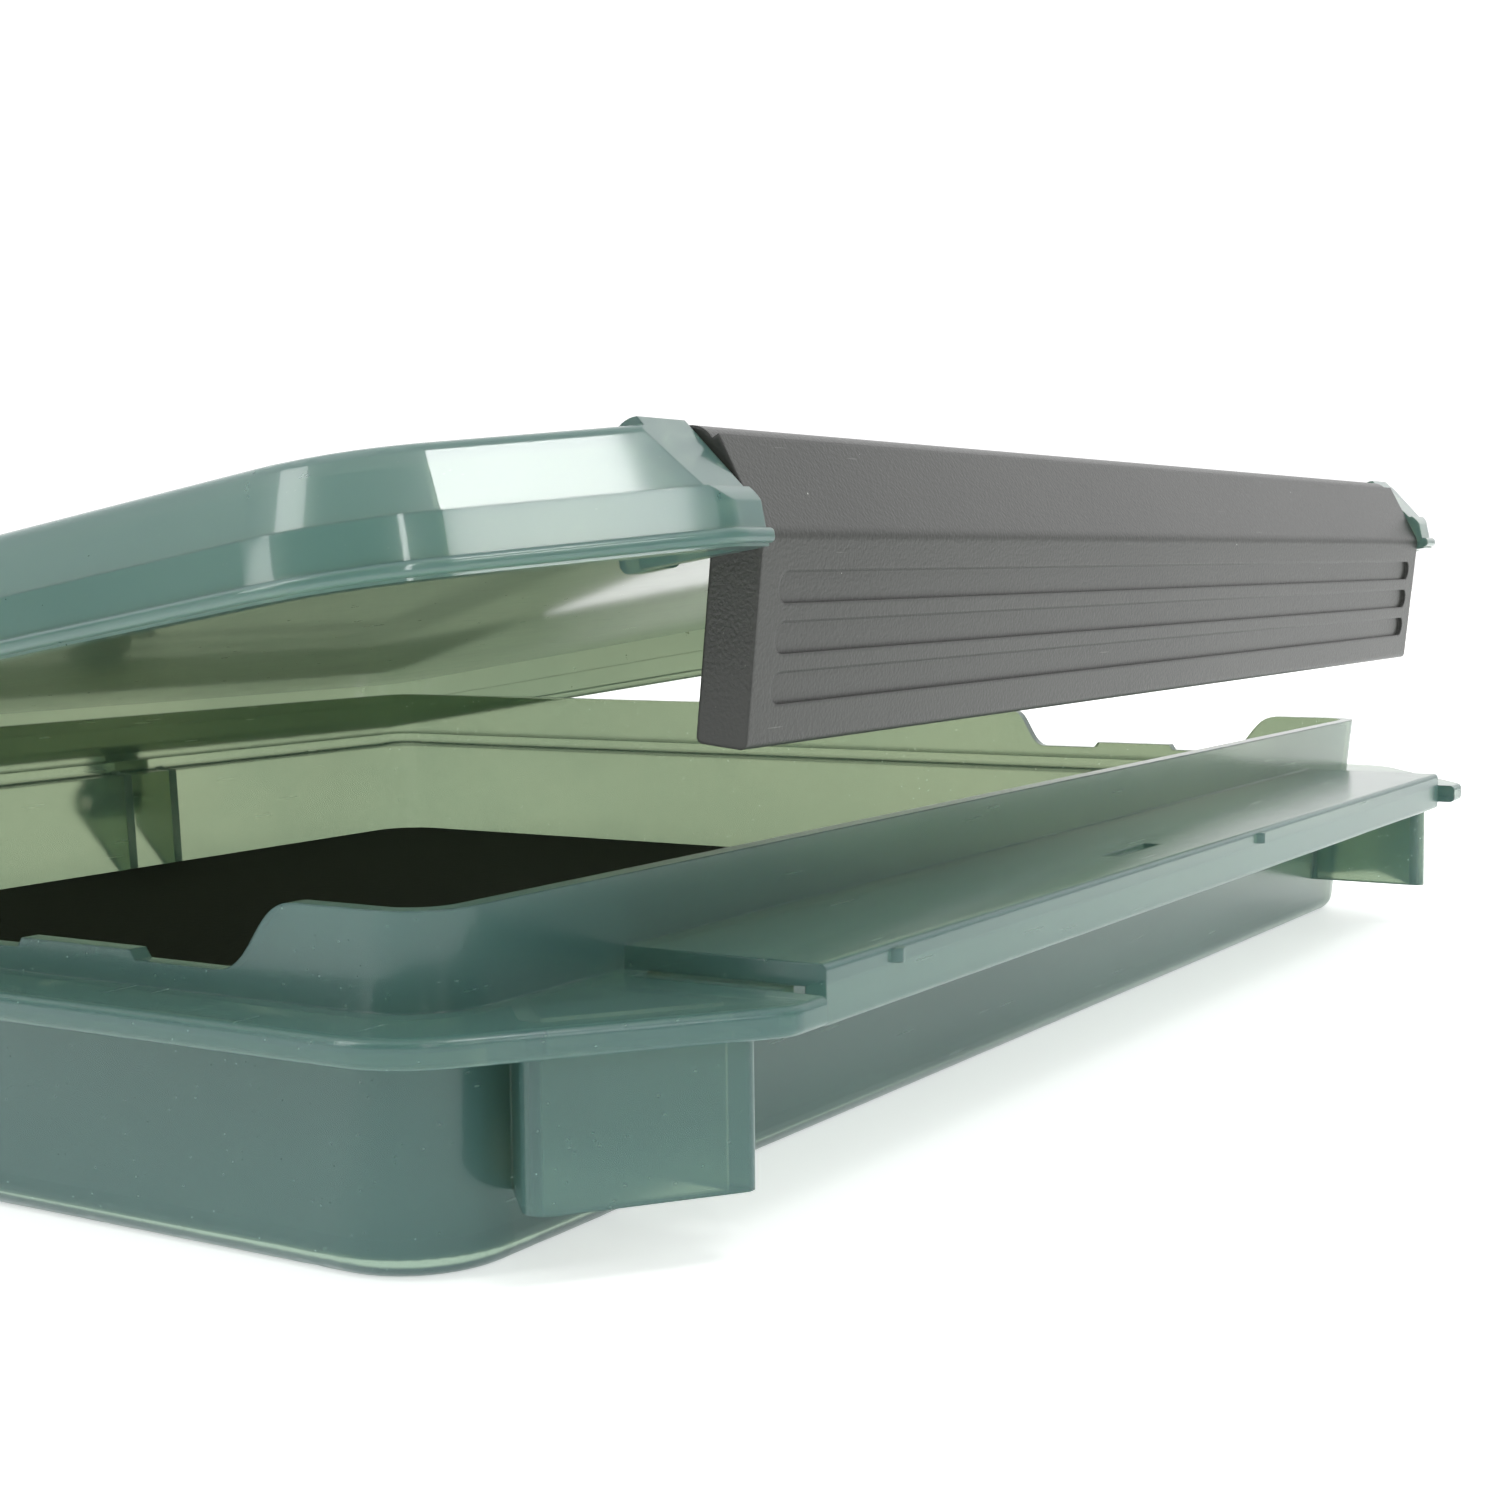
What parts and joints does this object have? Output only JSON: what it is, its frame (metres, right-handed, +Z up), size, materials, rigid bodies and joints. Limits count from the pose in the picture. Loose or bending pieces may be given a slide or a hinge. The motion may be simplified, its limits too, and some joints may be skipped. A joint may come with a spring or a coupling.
{
  "type": "hinged storage case",
  "caption": "Slim translucent storage case with a rear-hinged lid standing slightly open, a full-width snap latch along the front and a thin mat on the tray floor.",
  "frame": {"origin": "middle of the tray's underside, on the surface the case stands on", "axes": "+X along the latch, -Y towards the latch side, +Y towards the hinges, +Z up"},
  "size_m": [0.2026, 0.1919, 0.0547],
  "materials": {
    "tray_plastic": "translucent moulded, smooth",
    "lid_plastic": "translucent moulded, glossy",
    "latch_plastic": "fine moulded texture",
    "mat_rubber": "matte",
    "pin_steel": "plain"
  },
  "bodies": {
    "tray": {"tray": "tray_plastic", "floor_mat": "mat_rubber"},
    "hinge_pins": {"hinge_pin_left": "pin_steel", "hinge_pin_right": "pin_steel"},
    "lid": {"lid": "lid_plastic"},
    "latch_pins": {"latch_pin_left": "pin_steel", "latch_pin_right": "pin_steel"},
    "latch": {"latch": "latch_plastic"}
  },
  "joints": [
    {"name": "lid_close", "type": "hinge", "parent": "tray", "child": "hinge_pins", "pos_m": [0, 0.0896, 0.0114], "axis": [-1, 0, 0], "range_deg": [-8.8, 0]},
    {"name": "lid_open", "type": "hinge", "parent": "hinge_pins", "child": "lid", "pos_m": [0, 0.0896, 0.0114], "axis": [-1, 0, 0], "range_deg": [0, 140]},
    {"name": "latch_ride", "type": "hinge", "parent": "lid", "child": "latch_pins", "pos_m": [0, -0.08883, 0.05238], "axis": [-1, 0, 0], "range_deg": [0, 35]},
    {"name": "latch_swing", "type": "hinge", "parent": "latch_pins", "child": "latch", "pos_m": [0, -0.08883, 0.05238], "axis": [-1, 0, 0], "range_deg": [-20, 75]}
  ],
  "couplings": [
    {"joint": "latch_ride", "follows": "lid_close", "ratio": -3.966}
  ]
}
